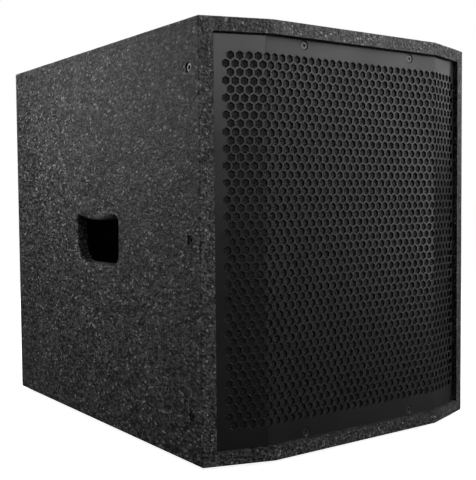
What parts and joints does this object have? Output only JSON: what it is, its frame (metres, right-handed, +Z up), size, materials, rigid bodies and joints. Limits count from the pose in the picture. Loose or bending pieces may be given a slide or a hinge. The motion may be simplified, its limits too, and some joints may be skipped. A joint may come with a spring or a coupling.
{
  "type": "subwoofer cabinet",
  "caption": "Passive ported subwoofer cabinet with a bowed perforated steel grille, recessed hand holes, a pole socket and a rear connector dish.",
  "frame": {"origin": "centre of the footprint, on the plane the rubber feet stand on", "axes": "+X to the listener's right seen from the front, +Y from the grille to the rear panel, +Z up"},
  "size_m": [0.482, 0.62, 0.561],
  "materials": {
    "textured_paint": "fine textured black-grey paint over plywood",
    "bare_plywood": "sanded plywood, unpainted inside",
    "grille_paint": "satin dark grey powder coat on steel",
    "acoustic_foam": "open-cell black foam",
    "blackened_screw": "black zinc",
    "bright_screw": "bright zinc",
    "brass_insert": "turned brass",
    "black_plastic": "moulded black plastic",
    "dish_paint": "black powder coat on steel",
    "rubber": "moulded rubber",
    "gasket_foam": "closed-cell foam",
    "cast_frame": "black-coated cast aluminium",
    "plated_steel": "zinc-plated steel",
    "magnet_ceramic": "sintered ferrite",
    "cone_paper": "ribbed black paper pulp",
    "surround_cloth": "treated cloth",
    "spider_cloth": "resin-treated cotton",
    "former_paper": "varnished paper",
    "copper": "enamelled copper wire",
    "red_cable": "red cable jacket",
    "black_cable": "black cable jacket",
    "wadding": "polyester wadding"
  },
  "bodies": {
    "cabinet": {"top_panel": "textured_paint", "bottom_panel": "textured_paint", "left_side_panel": "textured_paint", "right_side_panel": "textured_paint", "rear_panel": "textured_paint", "baffle": "textured_paint", "cross_brace": "bare_plywood", "upright_brace": "bare_plywood", "upper_grille_batten": "textured_paint", "lower_grille_batten": "textured_paint", "grille": "grille_paint", "grille_foam": "acoustic_foam", "grille_screws": "blackened_screw", "grille_inserts": "brass_insert", "left_baffle_screws": "blackened_screw", "right_baffle_screws": "blackened_screw", "left_handle_cup": "black_plastic", "right_handle_cup": "black_plastic", "left_handle_cup_screws": "bright_screw", "right_handle_cup_screws": "bright_screw", "left_port_tube": "black_plastic", "right_port_tube": "black_plastic", "input_dish": "dish_paint", "input_dish_gasket": "gasket_foam", "input_dish_screws": "blackened_screw", "input_socket": "black_plastic", "link_socket": "black_plastic", "socket_screws": "blackened_screw", "link_leads": "black_cable", "positive_lead": "red_cable", "negative_lead": "black_cable", "lead_terminals": "brass_insert", "pole_socket": "black_plastic", "pole_socket_screws": "blackened_screw", "top_lining": "wadding", "rear_lining": "wadding", "left_lining": "wadding", "right_lining": "wadding", "front_left_foot": "rubber", "front_right_foot": "rubber", "rear_left_foot": "rubber", "rear_right_foot": "rubber", "foot_screws": "bright_screw", "driver_basket": "cast_frame", "driver_gasket": "gasket_foam", "driver_bolts": "blackened_screw", "driver_tee_nuts": "bright_screw", "driver_terminals": "black_plastic", "magnet_top_plate": "plated_steel", "magnet_ring": "magnet_ceramic", "magnet_yoke": "plated_steel", "surround": "surround_cloth", "spider": "spider_cloth", "tinsel_leads": "copper"},
    "cone_assembly": {"cone": "cone_paper", "dust_cap": "cone_paper", "coil_former": "former_paper", "coil_winding": "copper"}
  },
  "joints": [
    {"name": "cone_travel", "type": "slide", "parent": "cabinet", "child": "cone_assembly", "axis": [0, -1, 0], "range_m": [-0.008, 0.008], "stiffness_N_per_m": 6500, "deforming": ["surround", "spider", "tinsel_leads"]}
  ]
}
